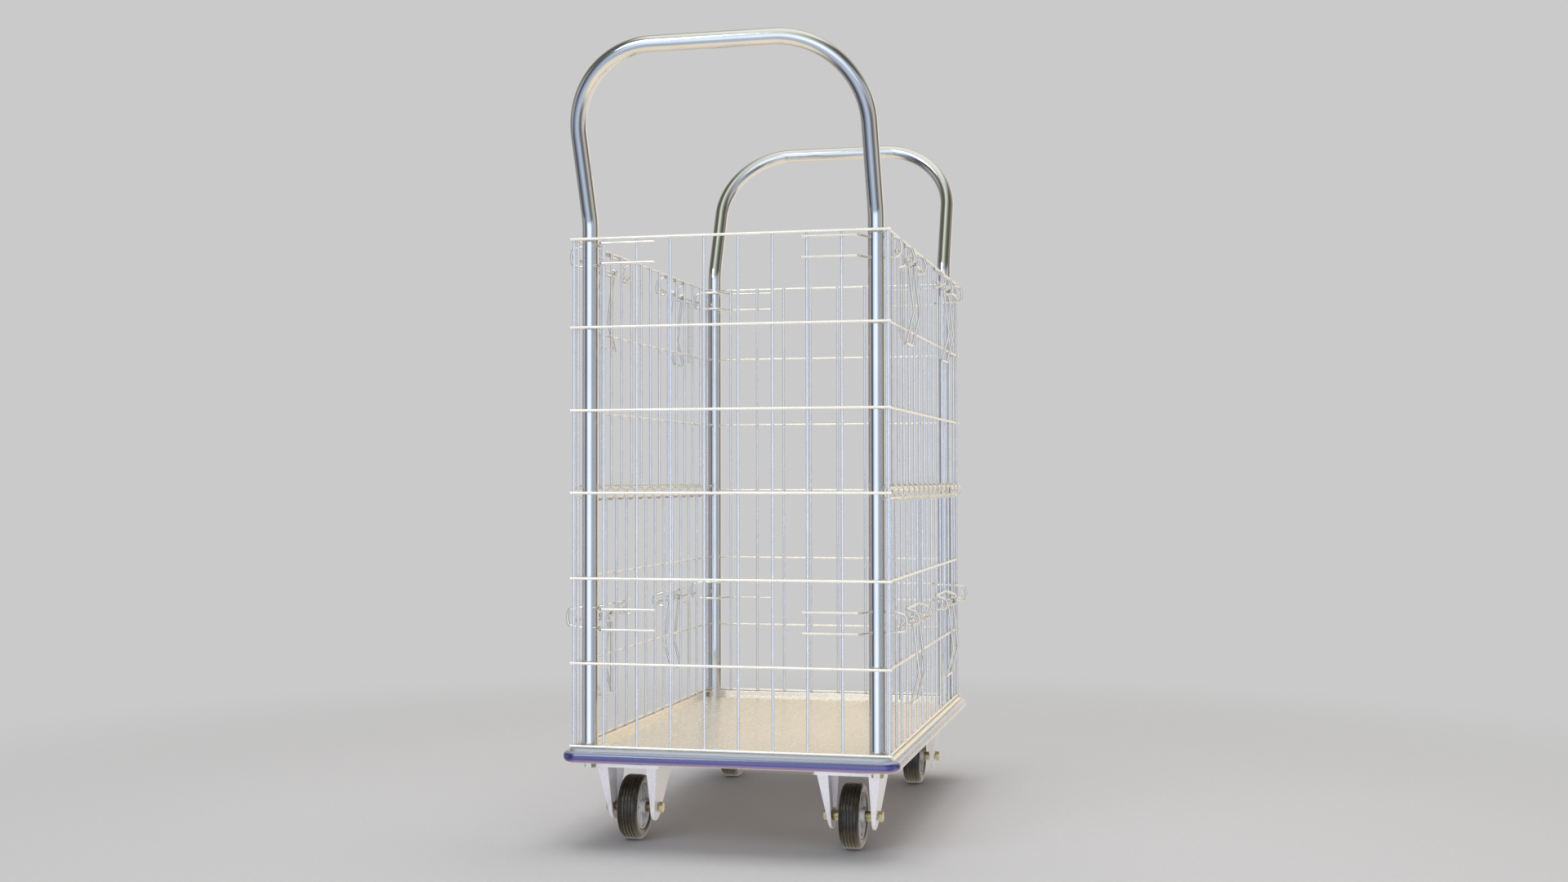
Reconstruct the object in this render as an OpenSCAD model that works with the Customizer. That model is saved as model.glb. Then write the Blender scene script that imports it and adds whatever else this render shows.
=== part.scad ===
// Mesh-sided platform trolley: a steel deck on four castors, a fixed tube handle at each
// end, a wire end panel on each handle, and two folding wire sides held by wire slide bolts.
// Millimetres. X is across, Y is along, Z is up. The origin is on the floor below the centre.

/* [Platform] */
// Width over the bumper strip
platform_w = 504; // [490:1:540]
// Length over the bumper strip
platform_l = 770; // [740:1:860]
// Height of the deck's rim above the floor
rim_z = 147; // [147:1:150]
// Depth of the tread below the rim
tread_drop = 10; // [8:0.5:10]
// Wheel diameter
wheel_d = 96; // [92:1:96]

/* [Cage] */
// Height of the cage's top wire above the rim
cage_h = 751; // [745:1:760]
// Height of the coil hinges above the rim
fold_h = 375; // [370:1:380]
// Diameter of the mesh wires
wire_d = 4.2; // [3.8:0.1:4.2]
// Distance between upright mesh wires
mesh_pitch = 51; // [50:0.5:51]

/* [Handles] */
// Outer diameter of the handle tube
tube_d = 24; // [22:0.5:24]
// Wall of the handle tube
tube_wall = 1.5; // [1.2:0.1:2]
// Lean of the handle's top, away from the cage
handle_lean = 22.7; // [10:0.1:25]
// Length of the leaning part, from its bend to the grip's centre line
handle_reach = 241.5; // [200:0.5:260]
// Radius of the grip's corners
grip_corner = 127; // [100:1:140]

/* [Latches] */
// Diameter of the bolt, guide and keeper wires
latch_d = 4.6; // [4:0.1:4.6]
// Travel of a slide bolt
bolt_travel = 45; // [42:1:45]

/* [Hidden] */

near = -1;
far = 1;
left = -1;
right = 1;
wire_fn = 32;
round_fn = 64;
tiny = 0.01;

// deck
bumper_out = 9;
bumper_h = 16.5;
bumper_r = 7.5;
bumper_z = rim_z - 20.5;
sheet = 2;
skirt_h = 21;
rim_w = 13;
deck_w = platform_w - 2 * bumper_out;
deck_l = platform_l - 2 * bumper_out;
deck_r = 16;
tread_z = rim_z - tread_drop;
under_z = tread_z - sheet;
load_w = 440;
load_l = 636;
load_h = 0.5;

// castors
plate_top = rim_z - 26;
plate_w = 104;
plate_l = 94;
plate_h = 8;
plate_t = 3;
wheel_r = wheel_d / 2;
wheel_w = 30;
castor_x = 168;
rigid_y = -280;
swivel_y = 262;
trail = 35;
axle_r = 5;
axle_play = 0.08;
bolt_x = 33;
bolt_y = 30;
leg_top = 47;
leg_bottom = 33;
leg_edge = 30;
leg_sheet = 3;
leg_tip_z = 35;
channel_w = 110;
crown_z = plate_top - 20;
crown_h = 5;
cup_z = plate_top - 10.5;
race_r = 20;
race_ball = 3;
race_groove = 3.2;
race_z = plate_top - 12.8;

// cage
half_x = deck_w / 2 - 7;
half_y = deck_l / 2 - 8;
weld = 0.4;
wire_step = wire_d - weld;
cage_top = rim_z + cage_h;
fold_z = rim_z + fold_h;
foot_z = rim_z + wire_d / 2 + 0.2;
side_foot_z = rim_z + wire_d / 2 + 0.5;
end_upright_y = half_y - wire_step;
side_upright_x = half_x - wire_step;
end_bays = 8;
side_end = mesh_pitch * 7;
lower_first = 3.5;
lower_last_y = half_y - 40;

// coil hinge
coil_d = 3;
coil_r = 11.3;
coil_turns = 14;
coil_steps = 16;
edge_step = coil_r - coil_d / 2 - wire_d / 2 - 0.3;
coil_phase = 41;

// latches: heights of the bolts and how far they stand outside the side wires
upper_bolt_z = cage_top - 27;
lower_bolt_z = fold_z - 191;
upper_out = 6.2;
lower_out = 12;
upper_bar = 22.4;
lower_bar = 16;
bolt_l = 233;
ball_r = 3.8;
keeper_in = 34.6;
guide_in = 152;
guide_end = 274;
leg_near = 102;
leg_far = 159;
lever_d = 4.4;
eye_r = 4.75;
collar_r = 3.5;
bolt_r = latch_d / 2;

// handles
tube_r = tube_d / 2;
post_x = half_x - 20;
post_y = half_y - 20;
lean_start = cage_top + 12;
lean_r = 76;
plug_h = 30;

function unit(v) = v / norm(v);

// A path whose corners are replaced by short curves that start and end `bend` from the corner
function rounded(p, bend, n = 3) = [
  p[0],
  for (i = [1 : len(p) - 2])
    let (u = unit(p[i - 1] - p[i]), v = unit(p[i + 1] - p[i]))
    for (k = [0 : n]) p[i] + u * bend * pow(1 - k / n, 2) + v * bend * pow(k / n, 2),
  p[len(p) - 1]
];

function tangent(p, i) =
  i == 0 ? unit(p[1] - p[0]) :
  i == len(p) - 1 ? unit(p[i] - p[i - 1]) :
  unit(unit(p[i] - p[i - 1]) + unit(p[i + 1] - p[i]));

// The part of n that is square to t, at unit length
function squared(n, t) = unit(n - (n * t) * t);

// A wire of `sides` flats swept along a path, from a first side direction
module swept_wire(path, d, side, sides = 8) {
  last = len(path) - 1;
  normals = [
    for (i = 0, n = squared(side, tangent(path, 0));
         i <= last;
         i = i + 1, n = i <= last ? squared(n, tangent(path, i)) : n) n
  ];
  points = [
    for (i = [0 : last])
      let (t = tangent(path, i), n = normals[i], b = cross(t, n))
      for (k = [0 : sides - 1])
        path[i] + d / 2 * (cos(360 * k / sides) * n + sin(360 * k / sides) * b)
  ];
  walls = [
    for (i = [0 : last - 1], k = [0 : sides - 1])
      let (a = i * sides + k, b = i * sides + (k + 1) % sides)
      each [[a, b + sides, b], [a, a + sides, b + sides]]
  ];
  caps = [
    [for (k = [0 : sides - 1]) k],
    [for (k = [sides - 1 : -1 : 0]) last * sides + k]
  ];
  polyhedron(points = points, faces = concat(walls, caps), convexity = 10);
}

module rod_x(x0, x1, y, z, d = wire_d) {
  translate([x0, y, z]) rotate([0, 90, 0]) cylinder(h = x1 - x0, d = d, $fn = wire_fn);
}

module rod_y(y0, y1, x, z, d = wire_d) {
  translate([x, y0, z]) rotate([-90, 0, 0]) cylinder(h = y1 - y0, d = d, $fn = wire_fn);
}

module rod_z(z0, z1, x, y, d = wire_d) {
  translate([x, y, z0]) cylinder(h = z1 - z0, d = d, $fn = wire_fn);
}

module rounded_plate(w, l, r, h) {
  linear_extrude(h) {
    square([w - 2 * r, l], center = true);
    square([w, l - 2 * r], center = true);
    for (x = [-1, 1], y = [-1, 1])
      translate([x * (w / 2 - r), y * (l / 2 - r)]) circle(r, $fn = round_fn);
  }
}

// ---------------------------------------------------------------- deck

module deck_tray() {
  color("lightsteelblue") {
  translate([0, 0, tread_z - 1]) rounded_plate(load_w, load_l, 8, load_h + 1);
  difference() {
    translate([0, 0, rim_z - skirt_h]) rounded_plate(deck_w, deck_l, deck_r, skirt_h);
    translate([0, 0, tread_z])
      rounded_plate(deck_w - 2 * rim_w, deck_l - 2 * rim_w, 8, tread_drop + 1);
    translate([0, 0, rim_z - skirt_h - 1])
      rounded_plate(deck_w - 2 * sheet, deck_l - 2 * sheet, deck_r - sheet, skirt_h + 1 - tread_drop - sheet);
    difference() {
      translate([0, 0, under_z - tiny])
        rounded_plate(deck_w - 2 * sheet, deck_l - 2 * sheet, deck_r - sheet, tread_drop);
      translate([0, 0, under_z - 1])
        rounded_plate(deck_w - 2 * rim_w + 4, deck_l - 2 * rim_w + 4, 10, tread_drop + 3);
    }
    for (x = [-1, 1], y = [-1, 1])
      translate([x * post_x, y * post_y, under_z - 1]) cylinder(h = 4, r = 5.2, $fn = wire_fn);
  }
  }
}

// Two cross channels that carry the castors, joined by two lengthwise channels
module under_channels() {
  channel_z = plate_top;
  channel_h = under_z - channel_z;
  color("gainsboro")
  difference() {
    union() {
      for (y = [rigid_y, swivel_y])
        translate([-225, y - channel_w / 2, channel_z]) cube([450, channel_w, channel_h]);
      for (x = [-100, 100])
        translate([x - 20, rigid_y, channel_z]) cube([40, swivel_y - rigid_y, channel_h]);
    }
    for (y = [rigid_y, swivel_y])
      translate([-226, y - channel_w / 2 + sheet, channel_z + sheet])
        cube([452, channel_w - 2 * sheet, channel_h]);
    for (x = [-100, 100])
      translate([x - 20 + sheet, rigid_y, channel_z + sheet])
        cube([40 - 2 * sheet, swivel_y - rigid_y, channel_h]);
    castor_bolt_places()
      translate([0, 0, channel_z - 1]) cylinder(h = 4, r = 4.3, $fn = wire_fn);
  }
}

module bumper_profile() {
  square([bumper_out - bumper_r, bumper_h]);
  translate([bumper_out - bumper_r, bumper_r]) square([bumper_r, bumper_h - 2 * bumper_r]);
  for (z = [bumper_r, bumper_h - bumper_r])
    translate([bumper_out - bumper_r, z])
      intersection() {
        circle(bumper_r, $fn = round_fn);
        translate([0, -bumper_r]) square([bumper_r, 2 * bumper_r]);
      }
}

module bumper_strip() {
  straight_x = deck_w - 2 * deck_r;
  straight_y = deck_l - 2 * deck_r;
  color("midnightblue")
  translate([0, 0, bumper_z]) {
    for (a = [0, 180])
      rotate(a) {
        translate([deck_w / 2, straight_y / 2, 0]) rotate([90, 0, 0])
          linear_extrude(straight_y) bumper_profile();
        translate([-straight_x / 2, deck_l / 2, 0]) rotate([90, 0, 90])
          linear_extrude(straight_x) bumper_profile();
        translate([straight_x / 2, straight_y / 2, 0])
          rotate_extrude(angle = 90, $fn = round_fn) translate([deck_r, 0]) bumper_profile();
        translate([-straight_x / 2, straight_y / 2, 0]) rotate(90)
          rotate_extrude(angle = 90, $fn = round_fn) translate([deck_r, 0]) bumper_profile();
      }
  }
}

// ---------------------------------------------------------------- handles

// One half of a handle as a solid rod of radius r, leaning towards +Y
module handle_half(r, foot) {
  arm = handle_reach - grip_corner;
  translate([post_x, 0, foot]) cylinder(h = lean_start - foot, r = r, $fn = round_fn);
  translate([post_x, lean_r, lean_start]) rotate([90, 0, -90])
    rotate_extrude(angle = handle_lean, $fn = round_fn) translate([lean_r, 0]) circle(r, $fn = round_fn);
  translate([post_x, lean_r * (1 - cos(handle_lean)), lean_start + lean_r * sin(handle_lean)])
    rotate([-handle_lean, 0, 0]) {
      cylinder(h = arm, r = r, $fn = round_fn);
      translate([-grip_corner, 0, arm]) rotate([90, 0, 0])
        rotate_extrude(angle = 90, $fn = round_fn) translate([grip_corner, 0]) circle(r, $fn = round_fn);
      translate([-post_x, 0, arm + grip_corner]) rotate([0, 90, 0])
        cylinder(h = post_x - grip_corner, r = r, $fn = round_fn);
    }
}

module handle(end) {
  color("silver")
  rotate(end == far ? 0 : 180)
    translate([0, post_y, 0])
      difference() {
        union() {
          handle_half(tube_r, tread_z);
          mirror([1, 0, 0]) handle_half(tube_r, tread_z);
        }
        union() {
          handle_half(tube_r - tube_wall, tread_z - 1);
          mirror([1, 0, 0]) handle_half(tube_r - tube_wall, tread_z - 1);
        }
      }
}

module handle_near() { handle(near); }
module handle_far() { handle(far); }

// Threaded plugs in the feet of the handle tubes
module handle_plugs() {
  color("gray")
  for (x = [-1, 1], y = [-1, 1])
    translate([x * post_x, y * post_y, tread_z])
      difference() {
        cylinder(h = plug_h, r = tube_r - tube_wall - 0.05, $fn = round_fn);
        translate([0, 0, -1]) cylinder(h = plug_h + 2, r = 4.05, $fn = wire_fn);
      }
}

// Screws from below the deck into the plugs, each on a thick washer
module handle_bolts() {
  color("khaki")
  for (x = [-1, 1], y = [-1, 1])
    translate([x * post_x, y * post_y, 0]) {
      translate([0, 0, under_z - 19]) cylinder(h = 12.5, r = 9, $fn = 6);
      translate([0, 0, under_z - 7]) cylinder(h = 7, r = 11, $fn = round_fn);
      translate([0, 0, under_z - 8]) cylinder(h = 31, r = 4, $fn = wire_fn);
    }
}

// ---------------------------------------------------------------- end panels

function cage_level(i) = [
  rim_z + 124, rim_z + 249, fold_z, fold_z + 122, fold_z + 245, cage_top
][i];

module end_panel() {
  first_x = -189.5;
  for (i = [0 : 5])
    rod_x(-half_x - 5, half_x + 5, half_y, cage_level(i));
  rod_x(-half_x - 5, half_x + 5, half_y, foot_z);
  for (i = [0 : end_bays - 1])
    rod_z(foot_z - 1.5, cage_top + 1.5, first_x + i * (mesh_pitch + 0.2), end_upright_y);
  for (x = [-half_x, half_x])
    rod_z(foot_z - 1.5, cage_top + 1.5, x, end_upright_y);
}

module end_panel_near() { color("gainsboro") mirror([0, 1, 0]) end_panel(); }
module end_panel_far() { color("gainsboro") end_panel(); }

// The keeper for one slide bolt: two prongs welded across the end panel's uprights, passing
// inside the handle post and joined by a loop that stands out through the side
module keeper(bolt_z, out) {
  top = bolt_z + 20;
  bottom = bolt_z - 10;
  across_y = half_y + 0.7;
  inner_y = half_y - keeper_in;
  bolt_line = half_x + out;
  path = [
    [110, across_y, top], [194, across_y, top], [204, inner_y, top],
    [half_x + 2, inner_y, top], [bolt_line + 7, inner_y, top - 4], [bolt_line + 9.5, inner_y, bolt_z + 5],
    [bolt_line + 7, inner_y, bottom + 3], [half_x + 2, inner_y, bottom],
    [204, inner_y, bottom], [194, across_y, bottom], [110, across_y, bottom]
  ];
  swept_wire(rounded(path, 4, 2), latch_d, [0, 0, 1]);
}

module keeper_set() {
  for (x = [0, 1])
    mirror([x, 0, 0]) {
      keeper(upper_bolt_z, upper_out);
      keeper(lower_bolt_z, lower_out);
    }
}

module keepers_near() { color("gainsboro") mirror([0, 1, 0]) keeper_set(); }
module keepers_far() { color("gainsboro") keeper_set(); }

// ---------------------------------------------------------------- folding sides

module side_lower() {
  top = fold_z - edge_step;
  for (z = [side_foot_z, cage_level(0), cage_level(1), top])
    rod_y(-side_end - 2, side_end + 2, half_x, z);
  for (k = [0 : 5], s = [-1, 1])
    rod_z(side_foot_z - 1.5, top + 1.5, side_upright_x, s * mesh_pitch * (k + 0.5));
  for (y = [-side_end, -lower_last_y, lower_last_y, side_end])
    rod_z(side_foot_z - 1.5, top + 1.5, side_upright_x, y);
}

module side_upper() {
  bottom = fold_z + edge_step;
  for (z = [bottom, cage_level(3), cage_level(4), cage_top])
    rod_y(-side_end - 2, side_end + 2, half_x, z);
  for (k = [-7 : 7])
    rod_z(bottom - 1.5, cage_top + 1.5, side_upright_x, mesh_pitch * k);
}

module side_lower_left() { color("gainsboro") mirror([1, 0, 0]) side_lower(); }
module side_lower_right() { color("gainsboro") side_lower(); }
module side_upper_left() { color("gainsboro") mirror([1, 0, 0]) side_upper(); }
module side_upper_right() { color("gainsboro") side_upper(); }

// The coil that winds round the facing edge wires of the two halves
module hinge_coil() {
  path = [
    for (i = [0 : coil_turns * coil_steps])
      let (turn = i / coil_steps, a = 360 * turn + coil_phase)
      [
        half_x + coil_r * cos(a),
        mesh_pitch * (turn - coil_turns / 2 + 0.5),
        fold_z + coil_r * sin(a)
      ]
  ];
  coil_end = post_y - tube_r - coil_d;
  swept_wire([for (p = path) if (p.y > -side_end && p.y < coil_end) p], coil_d, [0, 1, 0], 6);
}

module hinge_coil_left() { color("lightgray") mirror([1, 0, 0]) hinge_coil(); }
module hinge_coil_right() { color("lightgray") hinge_coil(); }

// ---------------------------------------------------------------- latches

// The guide wire of one slide bolt at the far end: a bar welded to the side's uprights, a hook
// over the bolt at each end of the bar, and a tail that hangs down inside the cage
module guide(bolt_z, out, bar) {
  hook_y = half_y - guide_in;
  end_y = half_y - guide_end;
  bolt_line = half_x + out;
  weld_x = side_upright_x + wire_d / 2 + bolt_r + 0.1;
  tail_x = side_upright_x - wire_d / 2 - bolt_r - 0.1;
  path = [
    [weld_x, end_y, bolt_z - 8], [bolt_line, end_y, bolt_z - 6.8], [bolt_line + 7, end_y, bolt_z - 4],
    [bolt_line + 9, end_y, bolt_z + 4], [bolt_line + 5, end_y, bolt_z + bar - 5],
    [weld_x, end_y, bolt_z + bar], [weld_x, hook_y, bolt_z + bar],
    [bolt_line + 5, hook_y, bolt_z + bar - 5], [bolt_line + 9, hook_y, bolt_z + 4],
    [bolt_line + 7, hook_y, bolt_z - 4], [bolt_line, hook_y, bolt_z - 6.8],
    [tail_x, hook_y, bolt_z - 11], [tail_x, hook_y, bolt_z - 120]
  ];
  swept_wire(rounded(path, 2.8, 2), latch_d, [0, 1, 0]);
}

module guide_pair(bolt_z, out, bar) {
  for (y = [0, 1])
    mirror([0, y, 0]) guide(bolt_z, out, bar);
}

module guides_lower_left() {
  color("gainsboro") mirror([1, 0, 0]) guide_pair(lower_bolt_z, lower_out, lower_bar);
}
module guides_lower_right() {
  color("gainsboro") guide_pair(lower_bolt_z, lower_out, lower_bar);
}
module guides_upper_left() {
  color("gainsboro") mirror([1, 0, 0]) guide_pair(upper_bolt_z, upper_out, upper_bar);
}
module guides_upper_right() {
  color("gainsboro") guide_pair(upper_bolt_z, upper_out, upper_bar);
}

// Places a far right latch piece at one of the eight latches, with Y measured into the cage
// from the end panel and the bolt's line as the origin of X and Z
module at_latch(side, end, upper) {
  mirror([side == left ? 1 : 0, 0, 0])
    mirror([0, end == near ? 1 : 0, 0])
      translate([half_x + (upper ? upper_out : lower_out), half_y, upper ? upper_bolt_z : lower_bolt_z])
        mirror([0, 1, 0]) children();
}

// The bolt, drawn back out of its keeper
module slide_bolt() {
  translate([0, bolt_travel, 0]) {
    rod_y(0, bolt_l, 0, 0, latch_d);
    for (y = [0, bolt_l])
      translate([0, y, 0]) sphere(ball_r, $fn = wire_fn);
    rod_y(leg_near - 5, leg_near - 3, 0, 0, 2 * collar_r);
    rod_y(leg_far + 3, leg_far + 5, 0, 0, 2 * collar_r);
  }
}

// The pull loop: two legs with eyes round the bolt, cranked outwards, joined at the bottom
module pull_lever() {
  leg = [[0.5, -eye_r], [9, -79], [-1.5, -120], [-3, -125]];
  path = concat(
    [for (p = leg) [p.x, leg_near, p.y]],
    [for (i = [3 : -1 : 0]) [leg[i].x, leg_far, leg[i].y]]
  );
  translate([0, bolt_travel, 0]) {
    swept_wire(rounded(path, 2.4, 2), lever_d, [1, 0, 0]);
    for (y = [leg_near, leg_far])
      translate([0, y, 0]) rotate([90, 0, 0])
        rotate_extrude($fn = wire_fn) translate([eye_r, 0]) circle(2.1, $fn = wire_fn);
  }
}

module bolt_lower_left_near() { color("lightgray") at_latch(left, near, false) slide_bolt(); }
module bolt_lower_left_far() { color("lightgray") at_latch(left, far, false) slide_bolt(); }
module bolt_lower_right_near() { color("lightgray") at_latch(right, near, false) slide_bolt(); }
module bolt_lower_right_far() { color("lightgray") at_latch(right, far, false) slide_bolt(); }
module bolt_upper_left_near() { color("lightgray") at_latch(left, near, true) slide_bolt(); }
module bolt_upper_left_far() { color("lightgray") at_latch(left, far, true) slide_bolt(); }
module bolt_upper_right_near() { color("lightgray") at_latch(right, near, true) slide_bolt(); }
module bolt_upper_right_far() { color("lightgray") at_latch(right, far, true) slide_bolt(); }

module lever_lower_left_near() { color("silver") at_latch(left, near, false) pull_lever(); }
module lever_lower_left_far() { color("silver") at_latch(left, far, false) pull_lever(); }
module lever_lower_right_near() { color("silver") at_latch(right, near, false) pull_lever(); }
module lever_lower_right_far() { color("silver") at_latch(right, far, false) pull_lever(); }
module lever_upper_left_near() { color("silver") at_latch(left, near, true) pull_lever(); }
module lever_upper_left_far() { color("silver") at_latch(left, far, true) pull_lever(); }
module lever_upper_right_near() { color("silver") at_latch(right, near, true) pull_lever(); }
module lever_upper_right_far() { color("silver") at_latch(right, far, true) pull_lever(); }

// ---------------------------------------------------------------- castors

module castor_bolt_places() {
  for (side = [left, right], y = [rigid_y, swivel_y], dx = [-1, 1], dy = [-1, 1])
    translate([side * castor_x + dx * bolt_x, y + dy * bolt_y, 0]) children();
}

module castor_bolt_holes() {
  for (dx = [-1, 1], dy = [-1, 1])
    translate([dx * bolt_x, dy * bolt_y, plate_top - plate_h - 1])
      cylinder(h = plate_h + 2, r = 4.3, $fn = wire_fn);
}

module castor_bolts() {
  color("khaki")
  castor_bolt_places() {
    translate([0, 0, plate_top - plate_t - 6.5]) cylinder(h = 6.5, r = 7.5, $fn = 6);
    translate([0, 0, plate_top - plate_t - 1]) cylinder(h = 12, r = 4, $fn = wire_fn);
    translate([0, 0, plate_top + sheet]) cylinder(h = 6, r = 7.5, $fn = 6);
  }
}

// Side view of a leg: a wide top narrowing to a round end on the axle, inset by t
module leg_side(top_z, y0, y1, axle_y, t) {
  tip_r = wheel_r - leg_tip_z + 7 - t;
  polygon([
    [y0 + t, top_z], [y1 - t, top_z], [axle_y + tip_r, wheel_r], [axle_y - tip_r, wheel_r]
  ]);
  translate([axle_y, wheel_r]) circle(tip_r, $fn = round_fn);
}

// Front view of a right-hand leg: straight inner edge, outer face sloping in to the foot
module leg_front(top_z, inner, t) {
  low = wheel_r - 22;
  polygon([[inner, low], [leg_bottom - t, low], [leg_top - t, top_z], [inner, top_z]]);
}

module extruded_front(y0, y1) {
  translate([0, y1, 0]) rotate([90, 0, 0]) linear_extrude(y1 - y0) children();
}

module extruded_side(x0, x1) {
  translate([x0, 0, 0]) rotate([90, 0, 90]) linear_extrude(x1 - x0) children();
}

// A pressed leg: a sloping web with its front and back edges turned in
module fork_leg(top_z, y0, y1, axle_y) {
  difference() {
    intersection() {
      extruded_front(y0 - 10, y1 + 10) leg_front(top_z, leg_edge, 0);
      extruded_side(0, leg_top + 5) leg_side(top_z, y0, y1, axle_y, 0);
    }
    intersection() {
      extruded_front(y0 - 10, y1 + 10) leg_front(top_z + tiny, 0, leg_sheet);
      extruded_side(0, leg_top + 5) leg_side(top_z + tiny, y0, y1, axle_y, leg_sheet);
    }
    translate([0, axle_y, wheel_r]) rotate([0, 90, 0])
      cylinder(h = leg_top + 5, r = axle_r + 0.1, $fn = wire_fn);
  }
}

module rigid_fork() {
  low = plate_top - plate_h;
  difference() {
    translate([0, 0, low]) rounded_plate(plate_w, plate_l, 5, plate_h);
    translate([0, 0, low - 1])
      rounded_plate(plate_w - 2 * plate_t, plate_l - 2 * plate_t, 3, plate_h - plate_t + 1);
    castor_bolt_holes();
  }
  for (m = [0, 1])
    mirror([m, 0, 0]) fork_leg(plate_top - plate_t + 0.5, -44, 44, 0);
}

// The ring that the swivel's balls run in
module ball_race() {
  translate([0, 0, race_z]) rotate_extrude($fn = round_fn)
    translate([race_r, 0]) circle(race_groove, $fn = wire_fn);
}

module swivel_fork() {
  difference() {
    union() {
      translate([0, 0, crown_z]) cylinder(h = crown_h, r = 28, $fn = round_fn);
      translate([-leg_top + 1, -29, crown_z])
        cube([2 * leg_top - 2, 62, 3]);
    }
    translate([0, 0, crown_z - 1]) cylinder(h = crown_h + 2, r = 6.1, $fn = wire_fn);
    ball_race();
  }
  for (m = [0, 1])
    mirror([m, 0, 0]) fork_leg(crown_z + 2.5, -29, 58, trail);
}

module fork_near_left() { color("lightgray") translate([-castor_x, rigid_y, 0]) rigid_fork(); }
module fork_near_right() { color("lightgray") translate([castor_x, rigid_y, 0]) rigid_fork(); }
module fork_far_left() { color("lightgray") translate([-castor_x, swivel_y, 0]) swivel_fork(); }
module fork_far_right() { color("lightgray") translate([castor_x, swivel_y, 0]) swivel_fork(); }

// An axle bolt with its head, its nut and the two spacers beside the hub
module axle(nut_x = 38) {
  translate([0, 0, wheel_r]) {
    rod_x(-nut_x - 5, nut_x + 6, 0, 0, 2 * axle_r);
    for (x = [-nut_x - 6, nut_x])
      translate([x, 0, 0]) rotate([0, 90, 0]) cylinder(h = 6, r = 8, $fn = 6);
    for (m = [0, 1])
      mirror([m, 0, 0]) rod_x(18.4, leg_edge + 1, 0, 0, 16);
  }
}

module axles_near() {
  color("khaki")
  for (side = [left, right])
    translate([side * castor_x, rigid_y, 0]) axle();
}
module axle_far_left() { color("khaki") translate([-castor_x, swivel_y + trail, 0]) axle(38.6); }
module axle_far_right() { color("khaki") translate([castor_x, swivel_y + trail, 0]) axle(38.6); }

// A tyre with four grooves round its tread
module tyre() {
  groove_d = 2;
  inner_r = wheel_r - 15;
  rotate([0, 90, 0]) rotate_extrude($fn = round_fn)
    difference() {
      union() {
        translate([inner_r, -wheel_w / 2 + 4]) square([15, wheel_w - 8]);
        translate([inner_r, -wheel_w / 2]) square([11, wheel_w]);
        for (s = [-1, 1])
          translate([wheel_r - 4, s * (wheel_w / 2 - 4)]) circle(4, $fn = wire_fn);
      }
      for (y = [-7.5, -2.5, 2.5, 7.5])
        translate([wheel_r - groove_d, y - 0.8]) square([groove_d + 1, 1.6]);
    }
}

// A dished hub: rim band, disc, raised centre boss and eight ribs
module hub() {
  rim_r = wheel_r - 15;
  rotate([0, 90, 0])
    difference() {
      union() {
        translate([0, 0, -13]) difference() {
          cylinder(h = 26, r = rim_r, $fn = round_fn);
          translate([0, 0, -1]) cylinder(h = 28, r = rim_r - 3, $fn = round_fn);
        }
        translate([0, 0, -9]) cylinder(h = 18, r = rim_r - 2, $fn = round_fn);
        translate([0, 0, -18]) cylinder(h = 36, r = 10, $fn = round_fn);
        for (a = [0 : 45 : 315])
          rotate(a) translate([9, -1.2, -10.5]) cube([rim_r - 11, 2.4, 21]);
      }
      translate([0, 0, -19]) cylinder(h = 38, r = axle_r + axle_play, $fn = wire_fn);
    }
}

module at_near_wheel(side) { translate([side * castor_x, rigid_y, wheel_r]) children(); }
module at_far_wheel(side) { translate([side * castor_x, swivel_y + trail, wheel_r]) children(); }

module tyre_near_left() { color("dimgray") at_near_wheel(left) tyre(); }
module tyre_near_right() { color("dimgray") at_near_wheel(right) tyre(); }
module tyre_far_left() { color("dimgray") at_far_wheel(left) tyre(); }
module tyre_far_right() { color("dimgray") at_far_wheel(right) tyre(); }
module hub_near_left() { color("gray") at_near_wheel(left) hub(); }
module hub_near_right() { color("gray") at_near_wheel(right) hub(); }
module hub_far_left() { color("gray") at_far_wheel(left) hub(); }
module hub_far_right() { color("gray") at_far_wheel(right) hub(); }

// Top plates of the swivel castors, each with the upper cup of its ball race
module swivel_plates() {
  color("lightgray")
  for (side = [left, right])
    translate([side * castor_x, swivel_y, 0])
      difference() {
        union() {
          translate([0, 0, plate_top - plate_t]) rounded_plate(plate_w, plate_l, 5, plate_t);
          translate([0, 0, cup_z]) cylinder(h = 8.5, r = 25, $fn = round_fn);
        }
        translate([0, 0, cup_z - 1]) cylinder(h = 13, r = 6.05, $fn = wire_fn);
        ball_race();
        castor_bolt_holes();
      }
}

// King pins, headed above the plate and nutted below the crown
module swivel_pins() {
  color("khaki")
  for (side = [left, right])
    translate([side * castor_x, swivel_y, 0]) {
      translate([0, 0, plate_top - 27]) cylinder(h = 27, r = 6, $fn = wire_fn);
      translate([0, 0, plate_top - 27]) cylinder(h = 6.6, r = 10, $fn = 6);
    }
}

// The balls between the cup and the crown
module swivel_balls() {
  color("silver")
  for (side = [left, right], a = [0 : 30 : 330])
    translate([side * castor_x, swivel_y, race_z]) rotate(a)
      translate([race_r, 0, 0]) sphere(race_ball, $fn = wire_fn);
}

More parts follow.
